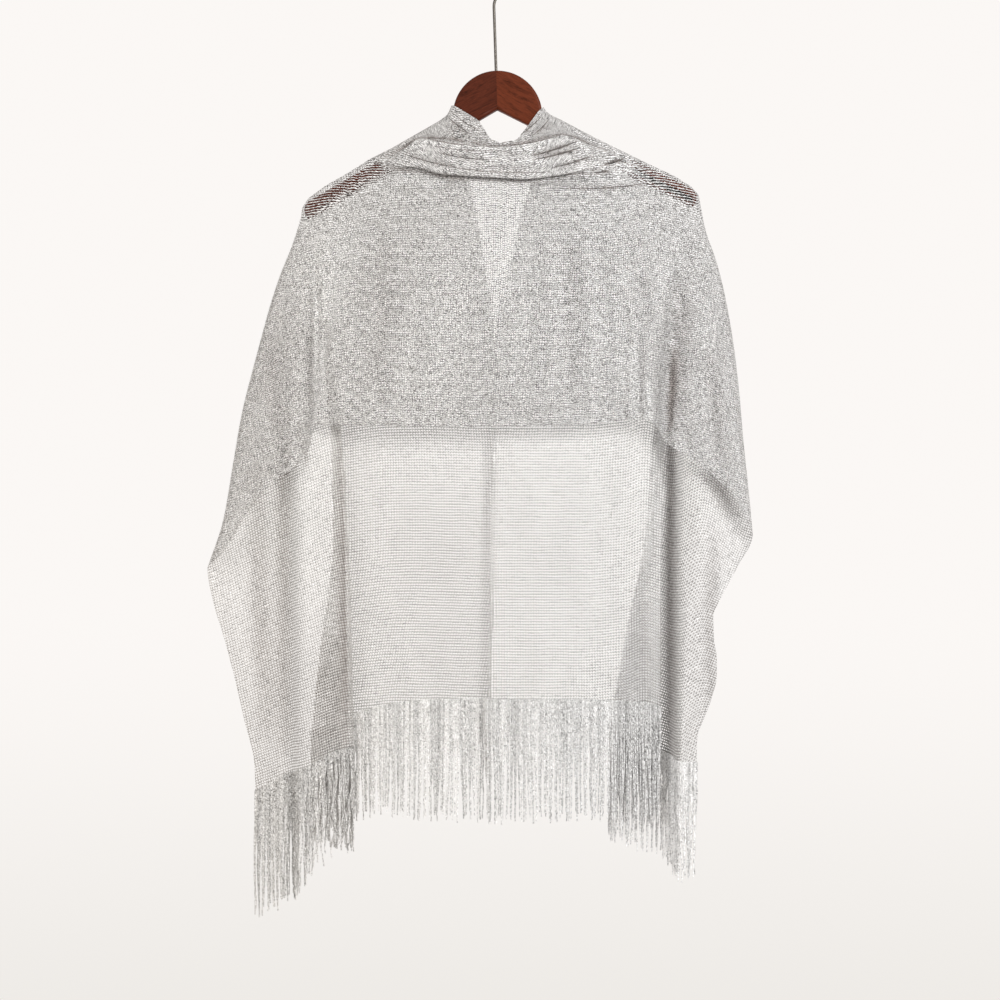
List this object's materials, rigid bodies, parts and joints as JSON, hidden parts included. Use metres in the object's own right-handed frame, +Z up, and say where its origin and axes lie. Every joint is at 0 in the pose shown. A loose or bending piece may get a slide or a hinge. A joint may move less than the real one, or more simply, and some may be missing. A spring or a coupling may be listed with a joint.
{
  "type": "evening stole on a hanger",
  "caption": "Fringed openwork stole of silver-grey metallic knit, folded over a flat wooden hanger, its middle falling behind and both ends in front.",
  "frame": {"origin": "inside top of the hook, where it rests on a rail", "axes": "+X along the hanger to the right as the stole's back faces the viewer, +Y away from that viewer to the side where the two ends hang, +Z up"},
  "size_m": [0.6102, 0.0629, 1.0775],
  "materials": {
    "knit_back": "openwork knit with metallic yarn",
    "knit_left": "openwork knit with metallic yarn",
    "knit_right": "openwork knit with metallic yarn",
    "yarn_left": "loose twisted metallic yarn",
    "yarn_right": "loose twisted metallic yarn",
    "walnut_left": "dark satin lacquer",
    "walnut_right": "dark satin lacquer",
    "steel": "drawn wire, plain"
  },
  "bodies": {
    "root": {"back": "knit_back", "front_left": "knit_left", "front_right": "knit_right", "fringe_left": "yarn_left", "fringe_right": "yarn_right", "wood_left": "walnut_left", "wood_right": "walnut_right", "hook": "steel"}
  },
  "joints": []
}
